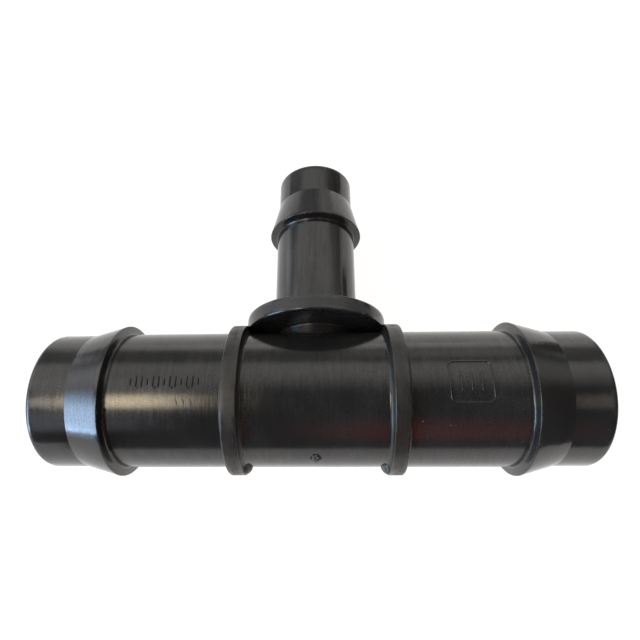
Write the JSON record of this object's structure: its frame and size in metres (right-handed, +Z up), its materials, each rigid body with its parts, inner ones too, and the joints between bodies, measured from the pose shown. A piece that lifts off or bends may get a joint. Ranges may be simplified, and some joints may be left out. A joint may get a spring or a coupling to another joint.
{
  "type": "barbed reducing tee",
  "caption": "Black moulded plastic tee for joining poly pipe: wide straight run and narrower side branch, each open end a tapered hose barb, with collars and a disc flange as pipe stops.",
  "frame": {"origin": "bottom centre of the tee's box as it lies flat on its side: mid length of the run, under the middle of its width from the run's outer side to the branch's open end, at the height of the lowest point of the run's barbs", "axes": "+X along the run, +Y along the branch towards its open end, +Z up, square to the plane of the run and the branch"},
  "size_m": [0.1484, 0.0964, 0.043],
  "materials": {
    "black_moulding": "glossy as moulded, with faint handling scuffs",
    "gate_scar": "torn off matte"
  },
  "bodies": {
    "root": {"centre_barrel": "black_moulding", "left_collar": "black_moulding", "right_collar": "black_moulding", "left_shank": "black_moulding", "right_shank": "black_moulding", "left_barb": "black_moulding", "right_barb": "black_moulding", "left_nose": "black_moulding", "right_nose": "black_moulding", "branch_neck": "black_moulding", "branch_flange": "black_moulding", "branch_shank": "black_moulding", "branch_barb": "black_moulding", "branch_nose": "black_moulding", "gate_stub": "gate_scar"}
  },
  "joints": []
}
